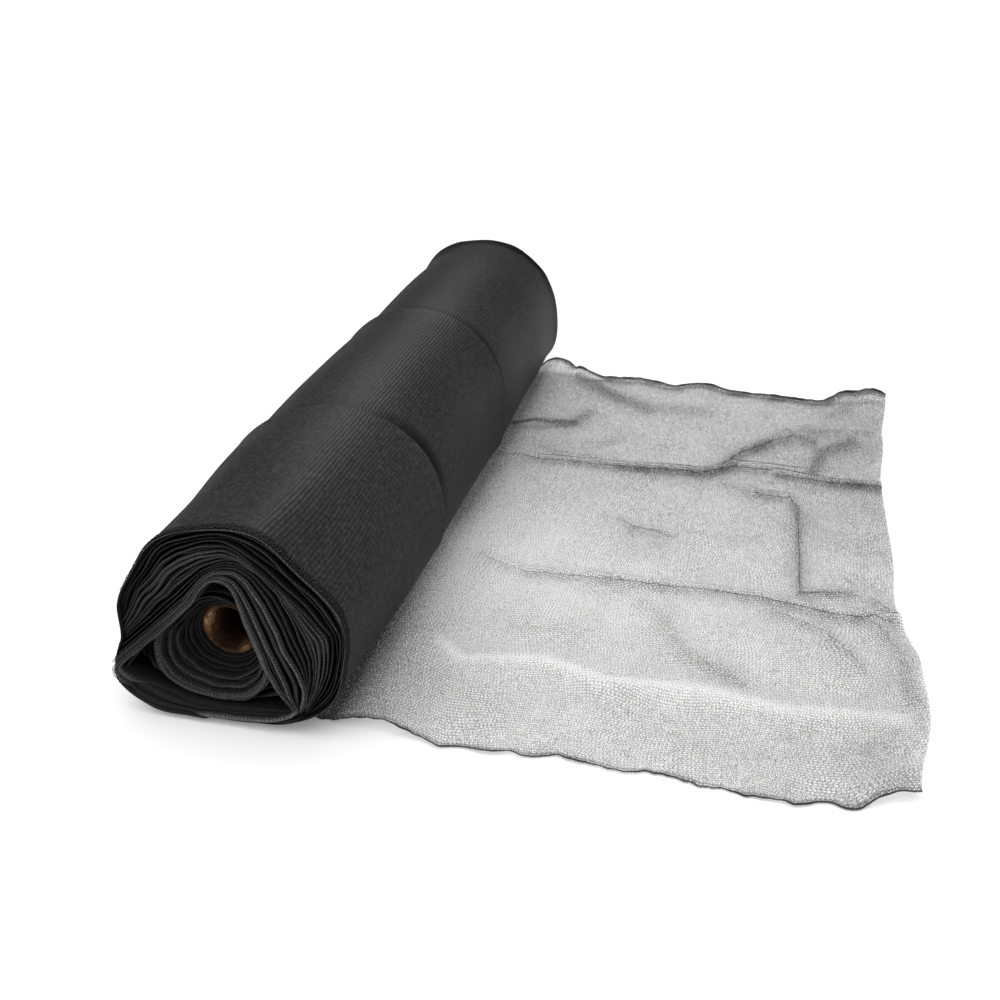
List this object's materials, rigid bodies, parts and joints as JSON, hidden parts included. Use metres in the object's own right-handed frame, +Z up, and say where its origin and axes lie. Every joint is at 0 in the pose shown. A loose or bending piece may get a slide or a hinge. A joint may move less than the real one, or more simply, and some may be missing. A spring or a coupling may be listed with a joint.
{
  "type": "debris netting roll",
  "caption": "Black knitted debris netting wound on a cardboard tube, lying on its side with a sheer loose end pulled out flat in soft creases.",
  "frame": {"origin": "on the floor under the middle of the whole part", "axes": "+Y along the roll from its open end to its far end, +X from the roll to the loose end, +Z up"},
  "size_m": [0.7534, 1.023, 0.2253],
  "materials": {
    "wound_net": "matte black knitted polyethylene net, many turns thick",
    "loose_net": "sheer black knitted polyethylene net",
    "core_cardboard": "plain brown wound cardboard"
  },
  "bodies": {
    "root": {"net_roll": "wound_net", "loose_end": "loose_net", "core_tube": "core_cardboard"}
  },
  "joints": []
}
